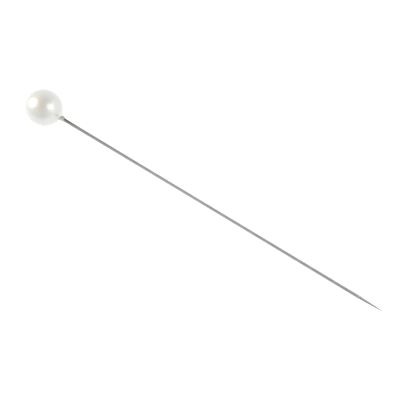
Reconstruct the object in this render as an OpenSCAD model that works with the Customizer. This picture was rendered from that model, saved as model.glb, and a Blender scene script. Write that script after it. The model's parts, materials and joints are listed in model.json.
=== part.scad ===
// Hat pin with an imitation-pearl head.
//
// The pin lies as it rests on a table: the head and the ground point both touch the plane z = 0,
// so the shank leans a little. +X runs from the head to the point and +Z is up. The origin is
// the middle of the bounding box, on the table. Every piece is turned about the pin's own axis:
// it is drawn upright, with z counted from the centre of the head towards the point, and then
// laid down.

/* [Pin] */
// Overall length, from the crown of the head to the tip of the point
pin_l = 88; // [60:1:150]
// Diameter of the drawn wire
shank_d = 0.7; // [0.6:0.05:0.8]
// Length of the ground point
point_l = 6; // [4:0.5:12]
// Diameter of the blunt end that grinding leaves on the tip
tip_d = 0.12; // [0.04:0.02:0.16]

/* [Head] */
// Diameter over the pearl coat
head_d = 8; // [7:0.5:12]
// Thickness of the pearl coat
coat_t = 0.15; // [0.1:0.05:0.2]
// Diameter of the blind hole in the moulded bead
bore_d = 1.2; // [1.18:0.02:1.3]
// Depth of the blind hole below the surface of the bead, as a share of its diameter
bore_share = 0.65; // [0.55:0.05:0.75]

/* [Collar] */
// Diameter of the sleeve that stands out of the head
sleeve_d = 1.2; // [1.15:0.05:1.3]
// Diameter of the flange that sits in the mouth of the head
flange_d = 1.7; // [1.6:0.05:1.9]
// Length of the sleeve outside the head
sleeve_l = 1.2; // [1.1:0.1:2]
// Depth of the groove in the wire, into which the sleeve's end is swaged
crimp_h = 0.04; // [0.02:0.01:0.04]

/* [Adhesive] */
// Thickness of the glue film round the collar
film_t = 0.04; // [0.02:0.01:0.04]
// How far the glue laps onto the pearl, outside the mouth
ring_lap = 0.2; // [0.1:0.05:0.3]
// How high the glue climbs the sleeve, above the surface of the head
ring_h = 0.55; // [0.35:0.05:0.6]

/* [Hidden] */
$fn = 96;

shank_r = shank_d / 2;
tip_r = tip_d / 2;
head_r = head_d / 2;
core_r = head_r - coat_t;
bore_r = bore_d / 2;
sleeve_r = sleeve_d / 2;
flange_r = flange_d / 2;

// Shank, along its own axis
tip_z = pin_l - head_r;
point_z = tip_z - point_l;
point_steps = 14;
point_power = 1.12; // 1 is a plain cone, more is fuller near the shank
edge = 0.05;        // small chamfer on cut ends

// Head
bore_end_z = core_r - 2 * core_r * bore_share;
drill_tip_h = bore_r / tan(59); // a 118 degree drill leaves this cone
shank_end_z = bore_end_z + 0.1;
key_count = 4;       // rings rolled into the wire's end to hold the glue
key_pitch = 0.7;
key_r = 0.06;
key_z = shank_end_z + 0.6;

// Collar, along the same axis
mouth_r = flange_r + film_t;
flange_sink = 0.4;   // from the crown of the mouth down to the underside of the flange
flange_h = 0.3;
flange_z = head_r - flange_sink;
seat_z = flange_z - film_t;
spigot_r = bore_r - film_t;
spigot_l = 1.1;
flare_h = 0.35;
flare_steps = 8;
sleeve_end_z = head_r + sleeve_l;
swage_l = 0.6;       // the sleeve narrows over this length, down to its end
swage_wall = 0.08;   // thickness of the metal that is left at the end
crimp_w = 0.6;
crimp_z = sleeve_end_z - crimp_w / 2 - 2 * edge;

// Glue ring
ring_r = mouth_r + ring_lap;
ring_edge = 0.02;    // thickness of the glue at the ring's outer edge
ring_steps = 12;

// How it lies
function point_radius(share) = tip_r + (shank_r - tip_r) * (1 - pow(share, point_power));
point_outline = [
    for (i = [0 : point_steps])
        [point_radius(i / point_steps), point_z + point_l * i / point_steps]
];
// Each step of the point allows some lean before it reaches the table. The least of them is real.
lean = min([for (p = point_outline) asin(head_r / norm(p)) - atan(p[0] / p[1])]);
reach = tip_z * cos(lean) + tip_r * sin(lean);
head_x = (head_r - reach) / 2;

// The hollow face of the glue ring, from its edge on the pearl up to the sleeve
ring_outline = [
    for (i = [0 : ring_steps])
        let (
            turn = 90 * i / ring_steps,
            r = ring_r - (ring_r - sleeve_r) * sin(turn),
            climb = ring_edge + (ring_h - ring_edge) * (1 - cos(turn))
        )
        [r, sqrt(head_r * head_r - r * r) + climb]
];

// Lays an upright piece down on the table, point towards +X.
module lay_down() {
    translate([head_x, 0, head_r])
        rotate([0, 90 + lean, 0])
            children();
}

// A solid cylinder along the axis, from z = a to z = b.
module rod(radius, a, b) {
    translate([0, 0, a])
        cylinder(r = radius, h = b - a);
}

// A ring that cuts a round-bottomed groove into the wire. Width is measured at the wire's surface.
module groove(z, width, depth) {
    arc_r = (width * width / 4 + depth * depth) / (2 * depth);
    rotate_extrude()
        translate([shank_r - depth + arc_r, z])
            circle(r = arc_r);
}

// The blind bore in the bead, from the cone that the drill leaves up to z = top.
module blind_bore(top) {
    rotate_extrude()
        polygon([
            [0, bore_end_z - drill_tip_h],
            [bore_r, bore_end_z],
            [bore_r, top],
            [0, top],
        ]);
}

// The space in the head for the wire, the collar's spigot and the glue round them.
module socket() {
    blind_bore(head_r);
    rod(mouth_r, seat_z, head_r + 1);
}

// The wire: keyed end in the head, groove under the collar's swaged end, ground point.
module shank_upright() {
    difference() {
        union() {
            rod(shank_r, shank_end_z + edge, point_z);
            translate([0, 0, shank_end_z])
                cylinder(r1 = shank_r - edge, r2 = shank_r, h = edge);
            rotate_extrude()
                polygon([[0, point_z], each point_outline, [0, tip_z]]);
        }
        for (i = [0 : key_count - 1])
            groove(key_z + i * key_pitch, 2 * key_r, key_r);
        groove(crimp_z, crimp_w, crimp_h);
    }
}

// The collar as one solid of revolution, before the wire is taken out of it.
module collar_blank() {
    flare_z = flange_z + flange_h;
    flare_w = flange_r - sleeve_r;
    rotate_extrude()
        polygon([
            [0, flange_z - spigot_l],
            [spigot_r - edge, flange_z - spigot_l],
            [spigot_r, flange_z - spigot_l + edge],
            [spigot_r, flange_z],
            [flange_r, flange_z],
            // the flare is a quarter of an ellipse, hollow outwards
            for (i = [0 : flare_steps])
                [flange_r - flare_w * sin(90 * i / flare_steps),
                 flare_z + flare_h * (1 - cos(90 * i / flare_steps))],
            [sleeve_r, sleeve_end_z - swage_l],
            [shank_r + swage_wall, sleeve_end_z],
            [0, sleeve_end_z],
        ]);
}

// All the glue before the other pieces are taken out of it: the fill of the bore, and the part
// above the seat, which ends in a hollow face from the collar down to the pearl.
module glue_blank() {
    blind_bore(flange_z);
    rotate_extrude()
        polygon([
            [0, seat_z],
            [ring_r, seat_z],
            each ring_outline,
            [0, ring_outline[ring_steps][1]],
        ]);
}

module bead_core() {
    color("ivory")
        lay_down()
            difference() {
                sphere(r = core_r);
                socket();
            }
}

module pearl_coat_upright() {
    difference() {
        sphere(r = head_r);
        sphere(r = core_r);
        rod(mouth_r, 0, head_r + 1);
    }
}

module pearl_coat() {
    color("whitesmoke")
        lay_down()
            pearl_coat_upright();
}

module shank() {
    color("silver")
        lay_down()
            shank_upright();
}

module collar() {
    color("lightgray")
        lay_down()
            difference() {
                collar_blank();
                shank_upright();
            }
}

module adhesive() {
    color("cornsilk")
        lay_down()
            difference() {
                glue_blank();
                difference() {
                    sphere(r = head_r);
                    socket();
                }
                collar_blank();
                shank_upright();
            }
}

bead_core();
pearl_coat();
shank();
collar();
adhesive();
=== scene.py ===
"""A hat pin with an imitation-pearl head, lying on a white table under soft studio light."""

import json
import math

import bmesh
import bpy
from mathutils import Matrix, Vector, noise


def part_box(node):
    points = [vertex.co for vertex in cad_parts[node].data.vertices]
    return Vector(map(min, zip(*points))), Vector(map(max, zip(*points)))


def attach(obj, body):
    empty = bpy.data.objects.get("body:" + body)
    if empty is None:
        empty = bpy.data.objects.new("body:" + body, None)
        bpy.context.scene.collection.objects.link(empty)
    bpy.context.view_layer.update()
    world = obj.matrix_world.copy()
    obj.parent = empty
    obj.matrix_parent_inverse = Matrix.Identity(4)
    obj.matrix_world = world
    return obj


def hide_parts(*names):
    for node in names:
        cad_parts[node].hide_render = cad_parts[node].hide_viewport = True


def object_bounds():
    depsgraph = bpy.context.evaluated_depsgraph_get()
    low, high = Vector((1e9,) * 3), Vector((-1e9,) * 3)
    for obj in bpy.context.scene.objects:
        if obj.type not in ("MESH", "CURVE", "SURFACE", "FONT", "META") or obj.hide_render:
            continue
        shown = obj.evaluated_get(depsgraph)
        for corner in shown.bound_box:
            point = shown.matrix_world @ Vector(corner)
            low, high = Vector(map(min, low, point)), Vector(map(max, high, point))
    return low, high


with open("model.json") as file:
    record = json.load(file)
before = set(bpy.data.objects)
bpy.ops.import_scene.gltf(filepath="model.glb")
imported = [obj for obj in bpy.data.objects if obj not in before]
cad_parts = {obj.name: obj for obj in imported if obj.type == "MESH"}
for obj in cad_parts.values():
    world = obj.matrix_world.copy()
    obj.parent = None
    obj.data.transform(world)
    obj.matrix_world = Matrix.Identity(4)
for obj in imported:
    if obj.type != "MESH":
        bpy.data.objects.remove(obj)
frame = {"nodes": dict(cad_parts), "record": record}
cad_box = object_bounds()

MM = 0.001

# ---------------------------------------------------------------- the pin's own frame
# Every piece is turned about the pin's axis, in a frame whose z axis it is and whose x axis looks
# up. u is the distance along the axis from the centre of the head towards the point.

mount = next(m for m in frame["record"]["mounts"] if m["name"] == "shank")
AXIS = Vector(mount["axis"]).normalized()
WIRE_R = mount["dims"]["r_mm"] * MM

coat_low, coat_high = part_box("pearl_coat")
core_low, core_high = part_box("bead_core")
HEAD_R = (coat_high.z - coat_low.z) / 2
CORE_R = (core_high.z - core_low.z) / 2
HEAD_CENTRE = Vector((coat_low.x + HEAD_R, 0, coat_low.z + HEAD_R))

SIDE = Vector((0, -1, 0))
UP = SIDE.cross(AXIS)
PIN_FRAME = Matrix((
    (UP.x, SIDE.x, AXIS.x, HEAD_CENTRE.x),
    (UP.y, SIDE.y, AXIS.y, HEAD_CENTRE.y),
    (UP.z, SIDE.z, AXIS.z, HEAD_CENTRE.z),
    (0, 0, 0, 1),
))

WIRE_MID_U = (Vector(mount["pos_m"]) - HEAD_CENTRE).dot(AXIS)
WIRE_HALF = mount["dims"]["length_mm"] * MM / 2
SLEEVE_END_U = WIRE_MID_U - WIRE_HALF
SHOULDER_U = WIRE_MID_U + WIRE_HALF
TIP_U = (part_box("shank")[1].x - HEAD_CENTRE.x) / AXIS.x

# Sizes of the pieces, as they are in the CAD model
TIP_R = 0.06 * MM
POINT_POWER = 1.12
EDGE = 0.05 * MM
BORE_R = 0.6 * MM
BORE_END_U = -1.155 * MM
DRILL_TIP_L = 0.36 * MM
WIRE_END_U = BORE_END_U + 0.1 * MM
KEY_FIRST_U = WIRE_END_U + 0.6 * MM
KEY_PITCH = 0.7 * MM
KEY_COUNT = 4
KEY_R = 0.06 * MM
FILM = 0.04 * MM
SLEEVE_R = 0.6 * MM
FLANGE_R = 0.85 * MM
FLANGE_U = HEAD_R - 0.4 * MM
FLARE_U = FLANGE_U + 0.3 * MM
FLARE_H = 0.35 * MM
SPIGOT_R = BORE_R - FILM
SPIGOT_END_U = FLANGE_U - 1.1 * MM
MOUTH_R = FLANGE_R + FILM
SWAGE_U = SLEEVE_END_U - 0.6 * MM
SWAGE_WALL = 0.08 * MM
CRIMP_W = 0.6 * MM
CRIMP_H = 0.04 * MM
CRIMP_U = SLEEVE_END_U - CRIMP_W / 2 - 2 * EDGE
RING_R = MOUTH_R + 0.2 * MM
RING_EDGE = 0.02 * MM


def direction(azimuth, elevation):
    """The unit vector towards a compass point of the frame. Azimuth 0 is -Y and 90 is +X."""
    a, e = math.radians(azimuth), math.radians(elevation)
    return Vector((math.sin(a) * math.cos(e), -math.cos(a) * math.cos(e), math.sin(e)))


# ---------------------------------------------------------------- profiles

def arc(centre_u, centre_r, radius, start, end, steps):
    """Points of a circular arc. Angles are in degrees, with 0 towards the point and 90 outwards."""
    turns = [math.radians(start + (end - start) * i / steps) for i in range(steps + 1)]
    return [(centre_u + radius * math.cos(t), centre_r + radius * math.sin(t)) for t in turns]


def groove(middle_u, width, depth):
    """Points of a round-bottomed groove in the wire, from the head's side to the point's."""
    steps = 8
    radius = (width * width / 4 + depth * depth) / (2 * depth)
    half = 2 * math.degrees(math.atan(2 * depth / width))
    return arc(middle_u, WIRE_R - depth + radius, radius, 270 - half, 270 + half, steps)


def on_head(r):
    """The u of the head's surface, on the point's side, at the distance r from the axis."""
    return math.sqrt(HEAD_R * HEAD_R - r * r)


def lacquer_change(u, r, angle):
    """The head was dipped, so the lacquer is a few thousandths of a millimetre uneven.

    The change is the sum of two noises, a broad one and a close one.
    """
    place = Vector((r * math.cos(angle), r * math.sin(angle), u)) / HEAD_R
    broad = noise.noise(place * 1.3 + Vector((3.1, 0.4, 7.7)))
    close = noise.noise(place * 5 + Vector((0.2, 9.3, 1.5)))
    return (0.006 * broad + 0.0012 * close) * MM


def pearl_profile(angle):
    """The outside of the lacquer from the crown to the mouth, its lip, and the inside back."""
    outside_steps = 110
    lip_steps = 5
    inside_steps = 60
    lip = 0.04 * MM
    mouth = math.degrees(math.asin((MOUTH_R + lip) / HEAD_R))
    inner_mouth = math.degrees(math.asin(MOUTH_R / CORE_R))
    points = []
    for u, r in arc(0, 0, HEAD_R, 180, mouth, outside_steps):
        grow = 1 + lacquer_change(u, r, angle) / HEAD_R
        points.append((u * grow, r * grow))
    points += arc(points[-1][0] - lip, MOUTH_R + lip, lip, 350, 270, lip_steps)
    points += arc(0, 0, CORE_R, inner_mouth, 180, inside_steps)
    return points


def point_r(share):
    """Radius of the ground point, by the share of its length from the shoulder."""
    return TIP_R + (WIRE_R - TIP_R) * (1 - share ** POINT_POWER)


def buried_wire():
    """The wire's end in the head, with the rings rolled into it."""
    points = [(WIRE_END_U, 0), (WIRE_END_U, WIRE_R - EDGE), (WIRE_END_U + EDGE, WIRE_R)]
    for i in range(KEY_COUNT):
        points += groove(KEY_FIRST_U + i * KEY_PITCH, 2 * KEY_R, KEY_R)
    return points


def wire_profile(_angle):
    """The wire, from its buried end to the tip of the point."""
    rings = 74
    point_rings = 48
    tip_rings = 5
    points = buried_wire() + groove(CRIMP_U, CRIMP_W, CRIMP_H)
    for i in range(rings + 1):
        points.append((SLEEVE_END_U + (SHOULDER_U - SLEEVE_END_U) * i / rings, WIRE_R))
    # the point's rings crowd towards the shoulder and the tip, where its outline turns
    for i in range(1, point_rings + 1):
        share = (1 - math.cos(math.pi * i / point_rings)) / 2
        points.append((SHOULDER_U + (TIP_U - TIP_R - SHOULDER_U) * share, point_r(share)))
    return points + arc(TIP_U - TIP_R, 0, TIP_R, 75, 0, tip_rings)


def flare():
    """The hollow flare from the collar's flange to its sleeve."""
    steps = 10
    turns = [math.pi / 2 * i / steps for i in range(steps + 1)]
    return [(FLARE_U + FLARE_H * (1 - math.cos(t)),
             FLANGE_R - (FLANGE_R - SLEEVE_R) * math.sin(t)) for t in turns]


def collar_profile(angle):
    """The collar: its outside from the spigot to its swaged end, and its bore back.

    The jaws that swaged its end left shallow flats.
    """
    steps = 8
    rim_steps = 5
    jaws = 8
    flats = 0.012 * MM * math.cos(jaws * angle)
    end_r = WIRE_R + SWAGE_WALL
    outside = [(SPIGOT_END_U, SPIGOT_R - EDGE), (SPIGOT_END_U + EDGE, SPIGOT_R)]
    outside += [(FLANGE_U, SPIGOT_R), (FLANGE_U, FLANGE_R)] + flare()
    for i in range(steps + 1):
        share = i / steps
        r = SLEEVE_R + (end_r - SLEEVE_R) * share + flats * math.sin(math.pi * share)
        outside.append((SWAGE_U + (SLEEVE_END_U - EDGE - SWAGE_U) * share, r))
    outside += arc(SLEEVE_END_U - EDGE, end_r - EDGE, EDGE, 75, 0, rim_steps)
    inside = [(SLEEVE_END_U, WIRE_R + EDGE / 2), (SLEEVE_END_U - EDGE / 2, WIRE_R)]
    inside += groove(CRIMP_U, CRIMP_W, CRIMP_H)[::-1]
    return outside + inside + [(SPIGOT_END_U, WIRE_R)]


def flare_r(u):
    """Radius of the collar at u, from the foot of its flare up to the start of the swage."""
    share = min((u - FLARE_U) / FLARE_H, 1)
    return FLANGE_R - (FLANGE_R - SLEEVE_R) * math.sqrt(share * (2 - share))


def glue_profile(angle):
    """The glue: the fill of the bore, the ring that shows on the pearl, and back inside.

    It set while the pin lay on its side, so it is thin on one side and climbs the other.
    """
    steps = 14
    lip = 0.012 * MM
    # how full the glue is at this angle, from 0 to 1, and the small waves in its two edges
    full = (0.5 + 0.5 * math.cos(angle + math.radians(65))) ** 2.2
    outer_wave = 0.015 * math.sin(3 * angle + 2.1)
    upper_wave = 0.01 * math.sin(4 * angle + 1.1)
    ring_r = RING_R + (0.22 * full - 0.16 + outer_wave) * MM
    top_u = FLARE_U + (0.05 + 0.62 * full + upper_wave) * MM
    top_r = flare_r(top_u) + lip
    climb = top_u - on_head(top_r)
    points = [(BORE_END_U - DRILL_TIP_L, 0), (BORE_END_U, BORE_R), (FLANGE_U - FILM, BORE_R)]
    points += [(FLANGE_U - FILM, MOUTH_R), (on_head(MOUTH_R), MOUTH_R)]
    points += [(on_head(ring_r), ring_r)]
    # the glue rises steeply at its rounded outer edge, and then along a hollow to its lip
    for i in range(1, steps + 1):
        t = math.pi / 2 * i / steps
        r = ring_r - (ring_r - top_r) * (1 - math.cos(t))
        rise = RING_EDGE * math.sin(2 * t) + climb * (1 - math.cos(t)) ** 1.6
        points.append((on_head(r) + rise, r))
    for i in range(steps + 1):
        u = FLARE_U + (top_u - FLARE_U) * (1 - math.sin(math.pi / 2 * i / steps))
        points.append((u, flare_r(u)))
    points += [(FLANGE_U, FLANGE_R), (FLANGE_U, SPIGOT_R), (SPIGOT_END_U, SPIGOT_R)]
    return points + [(SPIGOT_END_U, WIRE_R)] + buried_wire()[::-1]


# ---------------------------------------------------------------- meshes

def in_place(u, r, angle):
    """A point of the pin, where it is in the model. Angle 0 is the upper side and 90 degrees is -Y."""
    return PIN_FRAME @ Vector((r * math.cos(angle), r * math.sin(angle), u))


def turned(name, profile, segments, ring=False):
    """A piece turned about the pin's axis. profile(angle) gives its (u, r) points at an angle.

    A ring's profile is a closed loop. Any other profile starts and ends on the axis.
    """
    angles = [2 * math.pi * i / segments for i in range(segments)]
    ends = profile(0)[0], profile(0)[-1]
    bm = bmesh.new()
    # one column of points for each angle, and faces from each column to the next
    columns = []
    for a in angles:
        points = profile(a) if ring else profile(a)[1:-1]
        columns.append([bm.verts.new(in_place(u, r, a)) for u, r in points])
    count = len(columns[0])
    for column, following in zip(columns, columns[1:] + columns[:1]):
        for j in range(count if ring else count - 1):
            k = (j + 1) % count
            bm.faces.new((column[j], following[j], following[k], column[k]))
    if not ring:
        for (end_u, _), j in zip(ends, (0, -1)):
            pole = bm.verts.new(in_place(end_u, 0, 0))
            for column, following in zip(columns, columns[1:] + columns[:1]):
                bm.faces.new((column[j], following[j], pole))
    bmesh.ops.recalc_face_normals(bm, faces=bm.faces)
    mesh = bpy.data.meshes.new(name)
    bm.to_mesh(mesh)
    bm.free()
    mesh.polygons.foreach_set("use_smooth", [True] * len(mesh.polygons))
    mesh.set_sharp_from_angle(angle=math.radians(40))
    piece = bpy.data.objects.new(name, mesh)
    bpy.context.scene.collection.objects.link(piece)
    return piece


# ---------------------------------------------------------------- materials

# The noise textures keep mostly between these two values.
NOISE_LOW = 0.3
NOISE_HIGH = 0.7


class Graph:
    """Short ways to build a node tree. All but give return the socket that holds their result."""

    def __init__(self, tree, coordinates):
        self.nodes = tree.nodes
        self.links = tree.links
        self.place = self.nodes.new("ShaderNodeTexCoord").outputs[coordinates]

    def dot(self, vector, towards):
        """The dot product of a vector socket and a fixed vector."""
        node = self.nodes.new("ShaderNodeVectorMath")
        node.operation = "DOT_PRODUCT"
        node.inputs[1].default_value = towards
        self.links.new(vector, node.inputs[0])
        return node.outputs["Value"]

    def give(self, socket, value):
        """Links another socket to this one, or sets it to a number or a colour."""
        if isinstance(value, bpy.types.NodeSocket):
            self.links.new(value, socket)
        else:
            socket.default_value = (*value, 1) if isinstance(value, tuple) else value

    def times_plus(self, value, factor, addend):
        """value * factor + addend, where the addend is a number or another socket."""
        node = self.nodes.new("ShaderNodeMath")
        node.operation = "MULTIPLY_ADD"
        node.inputs[1].default_value = factor
        self.links.new(value, node.inputs[0])
        self.give(node.inputs[2], addend)
        return node.outputs["Value"]

    def ramp(self, value, *stops):
        """A colour for a value, from (value, colour) stops. A grey is given as one number."""
        node = self.nodes.new("ShaderNodeValToRGB")
        elements = node.color_ramp.elements
        while len(elements) < len(stops):
            elements.new(0.5)
        for element, (position, colour) in zip(elements, stops):
            element.position = position
            element.color = (*colour, 1) if isinstance(colour, tuple) else (colour, colour, colour, 1)
        self.links.new(value, node.inputs["Fac"])
        return node.outputs["Color"]

    def blend(self, amount, one, other, way="MIX"):
        """Two colours mixed. The amount and the colours are sockets or plain values."""
        node = self.nodes.new("ShaderNodeMix")
        node.data_type = "RGBA"
        node.blend_type = way
        self.give(node.inputs["Factor"], amount)
        self.give(node.inputs["A"], one)
        self.give(node.inputs["B"], other)
        return node.outputs["Result"]

    def times(self, one, other):
        """Two colours multiplied."""
        return self.blend(1, one, other, "MULTIPLY")


class Look(Graph):
    """A material in the making: a Principled shader and what feeds it."""

    def __init__(self, name, **sockets):
        self.material = bpy.data.materials.new(name)
        self.material.use_nodes = True
        super().__init__(self.material.node_tree, "Object")
        self.shader = self.nodes["Principled BSDF"]
        for socket, value in sockets.items():
            self.shader.inputs[socket.replace("_", " ")].default_value = value

    def pin_place(self):
        """Coordinates in the pin's own frame, with z along its axis."""
        node = self.nodes.new("ShaderNodeMapping")
        node.vector_type = "TEXTURE"
        node.inputs["Location"].default_value = HEAD_CENTRE
        node.inputs["Rotation"].default_value = PIN_FRAME.to_euler()
        self.links.new(self.place, node.inputs["Vector"])
        return node.outputs["Vector"]

    def stretched(self, across, lengthways):
        """The pin's coordinates, stretched so that a pattern has its own scale along the pin."""
        node = self.nodes.new("ShaderNodeMapping")
        node.inputs["Scale"].default_value = (across, across, lengthways)
        self.links.new(self.pin_place(), node.inputs["Vector"])
        return node.outputs["Vector"]

    def along(self, start, end, axis="Z"):
        """How far a place lies from start to end on an axis of the pin, as a share from 0 to 1."""
        split = self.nodes.new("ShaderNodeSeparateXYZ")
        node = self.nodes.new("ShaderNodeMapRange")
        node.inputs["From Min"].default_value = start
        node.inputs["From Max"].default_value = end
        self.links.new(self.pin_place(), split.inputs["Vector"])
        self.links.new(split.outputs[axis], node.inputs["Value"])
        return node.outputs["Result"]

    def painted_shade_side(self, tone):
        """Painted shade on the side that faces +Y: tone up to the collar's end, then fading to none.
        """
        length = 3 * MM
        side = self.along(-0.5 * WIRE_R, 0.3 * WIRE_R, "Y")
        beyond = self.along(SLEEVE_END_U, SLEEVE_END_U + length)
        return self.blend(side, self.ramp(beyond, (0.0, tone), (1.0, 1.0)), (1, 1, 1))

    def drift(self, value, share, towards):
        """A change across the head from 0 to 1 in one direction, mixed with a share of a noise."""
        middle = self.nodes.new("ShaderNodeVectorMath")
        middle.operation = "SUBTRACT"
        middle.inputs[1].default_value = HEAD_CENTRE
        self.links.new(self.place, middle.inputs[0])
        across = self.dot(middle.outputs["Vector"], towards / HEAD_R)
        return self.times_plus(value, share, self.times_plus(across, 0.5, 0.5 - share / 2))

    def noise(self, scale, detail=2.0, place=None, distortion=0.0):
        """A noise value from 0 to 1, at the piece's own coordinates or at a given place."""
        node = self.nodes.new("ShaderNodeTexNoise")
        node.inputs["Scale"].default_value = scale
        node.inputs["Detail"].default_value = detail
        node.inputs["Distortion"].default_value = distortion
        self.links.new(place or self.place, node.inputs["Vector"])
        return node.outputs["Fac"]

    def tint(self, value, one, other):
        """A noise value as a colour, from one colour where it is low to the other where it is high."""
        return self.ramp(value, (NOISE_LOW, one), (NOISE_HIGH, other))

    def span(self, value, low, high):
        """A noise value spread from low to high."""
        node = self.nodes.new("ShaderNodeMapRange")
        node.inputs["From Min"].default_value = NOISE_LOW
        node.inputs["From Max"].default_value = NOISE_HIGH
        node.inputs["To Min"].default_value = low
        node.inputs["To Max"].default_value = high
        self.links.new(value, node.inputs["Value"])
        return node.outputs["Result"]

    def bump(self, height, depth):
        """Relief of the given depth."""
        node = self.nodes.new("ShaderNodeBump")
        node.inputs["Distance"].default_value = depth
        self.links.new(height, node.inputs["Height"])
        return node.outputs["Normal"]

    def feed(self, **sockets):
        """Links these outputs to the shader's sockets, and gives back the finished material."""
        for socket, output in sockets.items():
            self.links.new(output, self.shader.inputs[socket.replace("_", " ")])
        return self.material


def pearl_look():
    """White pearl lacquer: soft mirror flakes in it, a painted rose iridescent sheen on its upper
    side, and a glossy skin.
    """
    look = Look("pearl_lacquer", Metallic=0.55, Coat_Weight=1.0, Coat_Roughness=0.2, Coat_IOR=1.5)
    grain = look.noise(9000, 2)
    clouds = look.noise(420, 3, distortion=0.4)
    # painted reflection: a rose iridescent sheen painted into the colour on the upper side of the
    # head, neutral grey elsewhere
    painted_iridescence = look.drift(clouds, 0.04, direction(-33, 80))
    body = look.ramp(painted_iridescence, (0.5, (0.69, 0.69, 0.675)), (0.8, (0.692, 0.691, 0.658)),
                     (0.9, (0.70, 0.694, 0.645)), (0.95, (0.72, 0.692, 0.635)),
                     (0.98, (0.747, 0.684, 0.613)))
    speckle = look.tint(grain, 0.95, 1.0)
    return look.feed(Base_Color=look.times(body, speckle),
                     Roughness=look.span(grain, 0.33, 0.41),
                     Normal=look.bump(look.noise(2600, 2), 0.0006 * MM))


def bead_look():
    """The moulded bead under the lacquer."""
    look = Look("moulded_bead", IOR=1.5)
    body = look.tint(look.noise(500, 3), (0.78, 0.75, 0.66), (0.84, 0.82, 0.75))
    return look.feed(Base_Color=body, Roughness=look.span(look.noise(3000), 0.3, 0.45))


def wire_look():
    """Nickel plate on drawn wire: fine lines along it, darker towards its ends, with painted shade on
    its +Y side by the collar.
    """
    look = Look("nickel_plated_wire", Metallic=1.0)
    lines = look.noise(1, 2, look.stretched(16000, 160))
    patches = look.noise(700, 3)
    body = look.tint(patches, (0.48, 0.47, 0.455), (0.55, 0.545, 0.53))
    streaks = look.tint(lines, 0.88, 1.0)
    # the colour is darker near the head and towards the point, and lightest in the middle
    # the stops are shares of the way from the head's centre to the tip
    ground = SHOULDER_U / TIP_U
    ends_darkening = look.ramp(look.along(0, TIP_U), (0.07, (0.63, 0.605, 0.585)), (0.12, (0.73, 0.72, 0.71)),
                     (0.3, 0.9), (0.45, 1.0), (0.6, 0.97), (0.8, 0.93),
                     (ground, (0.84, 0.83, 0.815)), (1.0, (0.59, 0.58, 0.57)))
    # painted shade on the wire's +Y side up to the collar, fading over 3 mm beyond it
    for change in (streaks, look.painted_shade_side((0.16, 0.13, 0.115)), ends_darkening):
        body = look.times(body, change)
    return look.feed(Base_Color=body,
                     Roughness=look.span(patches, 0.2, 0.32),
                     Normal=look.bump(lines, 0.0012 * MM))


def collar_look():
    """Satin nickel on the soft sleeve, lighter and duller than the wire."""
    look = Look("satin_nickel_collar", Metallic=1.0)
    patches = look.noise(2200, 4)
    body = look.tint(patches, (0.60, 0.59, 0.56), (0.70, 0.69, 0.66))
    # painted shade on the collar's +Y side, along its whole length
    return look.feed(Base_Color=look.times(body, look.painted_shade_side(0.62)),
                     Roughness=look.span(patches, 0.42, 0.55),
                     Normal=look.bump(look.noise(9000, 2), 0.002 * MM))


def glue_look():
    """Set cream glue, with a soft shine."""
    look = Look("cream_glue", IOR=1.5, Coat_Weight=0.4, Coat_Roughness=0.2)
    clouds = look.noise(2500, 3)
    body = look.tint(clouds, (0.73, 0.72, 0.60), (0.81, 0.80, 0.69))
    return look.feed(Base_Color=body,
                     Roughness=look.span(clouds, 0.35, 0.5),
                     Normal=look.bump(clouds, 0.01 * MM))


# ---------------------------------------------------------------- the pieces

def add(name, node, profile, segments, look, ring=False):
    """One finished piece in the place of a CAD node."""
    piece = turned(name, profile, segments, ring)
    piece.data.materials.append(look)
    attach(piece, "root")
    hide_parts(node)


# How many faces each piece has round the axis. The collar and the glue have the same number, so
# that the faces where they touch lie on each other.
HEAD_SEGMENTS = 160
NECK_SEGMENTS = 96
WIRE_SEGMENTS = 48

add("pearl_lacquer", "pearl_coat", pearl_profile, HEAD_SEGMENTS, pearl_look())
add("pin_wire", "shank", wire_profile, WIRE_SEGMENTS, wire_look())
add("swaged_collar", "collar", collar_profile, NECK_SEGMENTS, collar_look(), ring=True)
add("glue_ring", "adhesive", glue_profile, NECK_SEGMENTS, glue_look())

core = frame["nodes"]["bead_core"]
core.data.materials.clear()
core.data.materials.append(bead_look())


# ---------------------------------------------------------------- table, light and camera

def table():
    """A plain pale table top, lit mostly from within. It glows a little less behind the head."""
    half = 4000 * MM
    gap = 0.01 * MM
    mesh = bpy.data.meshes.new("table_top")
    mesh.from_pydata([(-half, -half, 0), (half, -half, 0), (half, half, 0), (-half, half, 0)],
                     [], [(0, 1, 2, 3)])
    top = bpy.data.objects.new("table_top", mesh)
    bpy.context.scene.collection.objects.link(top)
    top.location.z = min(cad_box[0].z, 0) - gap
    look = Look("pale_table", Roughness=0.9, Emission_Strength=1.0, Specular_IOR_Level=0.1)
    clouds = look.noise(30, 2)
    body = look.tint(clouds, 0.20, 0.22)
    # from behind the head to in front of it, spread over 3.3 times its radius each way
    forwards = look.drift(clouds, 0.02, direction(0, 0) * 0.3)
    glow = look.ramp(forwards, (0.2, 0.88), (0.5, 0.98), (0.8, 1.01))
    mesh.materials.append(look.feed(Base_Color=body, Emission_Color=glow))


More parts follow.
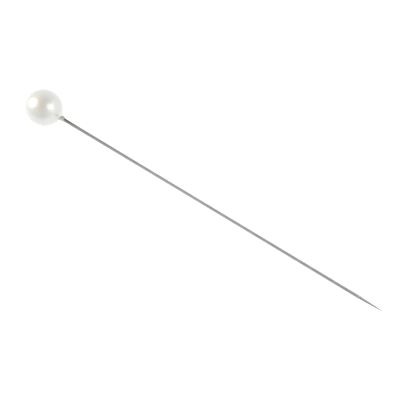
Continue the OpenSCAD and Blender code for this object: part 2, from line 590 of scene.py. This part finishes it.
def studio_dome():
    """A white room with a darker ceiling, which comes down lower in front than behind.

    The ceiling is darkest in the middle, and nearly white at its left and right ends.
    """
    world = bpy.data.worlds.new("studio_dome")
    bpy.context.scene.world = world
    world.use_nodes = True
    graph = Graph(world.node_tree, "Generated")
    across = graph.times_plus(graph.dot(graph.place, direction(-75, 0)), 0.5, 0.5)
    ceiling = graph.ramp(across, (0.1, 1.0), (0.28, 0.66), (0.4, 0.56), (0.5, 0.63),
                         (0.62, 0.79), (0.75, 0.95))
    overhead = graph.dot(graph.place, direction(30, 76))
    height = graph.ramp(overhead, (0.22, 0.0), (0.3, 0.3), (0.5, 0.87), (0.9, 1.0))
    background = graph.nodes["Background"]
    graph.links.new(graph.blend(height, (1, 1, 1), ceiling), background.inputs["Color"])
    background.inputs["Strength"].default_value = 1.0


def softbox(name, azimuth, elevation, wide, tall, radiance, colour=(1, 1, 1)):
    """An oval softbox that faces the head. Its size is how it looks from there, in degrees.

    Its radiance is 1 when it looks as bright as the white of the dome.
    """
    away = 0.6
    light = bpy.data.lights.new(name, "AREA")
    light.shape = "ELLIPSE"
    light.size = 2 * away * math.tan(math.radians(wide / 2))
    light.size_y = 2 * away * math.tan(math.radians(tall / 2))
    light.color = colour
    area = math.pi * light.size * light.size_y / 4
    light.energy = radiance * math.pi * area
    lamp = bpy.data.objects.new(name, light)
    bpy.context.scene.collection.objects.link(lamp)
    towards = direction(azimuth, elevation)
    lamp.location = HEAD_CENTRE + towards * away
    lamp.rotation_mode = "QUATERNION"
    lamp.rotation_quaternion = towards.to_track_quat("Z", "Y")
    lamp.visible_camera = False


def camera():
    """Above the pin and a little to its right, with the head at the upper left of the view."""
    data = bpy.data.cameras.new("camera")
    data.lens = 50
    data.sensor_width = 36
    data.clip_start = 5 * MM
    data.clip_end = 50000 * MM
    cam = bpy.data.objects.new("camera", data)
    bpy.context.scene.collection.objects.link(cam)
    towards = direction(31.012, 80)
    distance = 120.83 * MM
    aim = Vector((-0.939, 0.602, 0)) * MM
    cam.location = aim + towards * distance
    cam.rotation_mode = "QUATERNION"
    cam.rotation_quaternion = (-towards).to_track_quat("-Z", "Y")
    bpy.context.scene.camera = cam


table()
studio_dome()
# azimuth, elevation, width and height in degrees, and radiance
softbox("softbox_behind_head", -76, 34, 47, 52, 1.8, (0.985, 1.0, 0.975))
softbox("softbox_right", 112, 36, 34, 42, 1.4)
softbox("softbox_far_right", 142, 15, 14, 14, 1.2)
softbox("softbox_low_right", 100, 12, 40, 20, 0.25)
softbox("softbox_front", 25, 44, 55, 50, 0.15)
camera()
bpy.context.scene.view_settings.view_transform = "Standard"
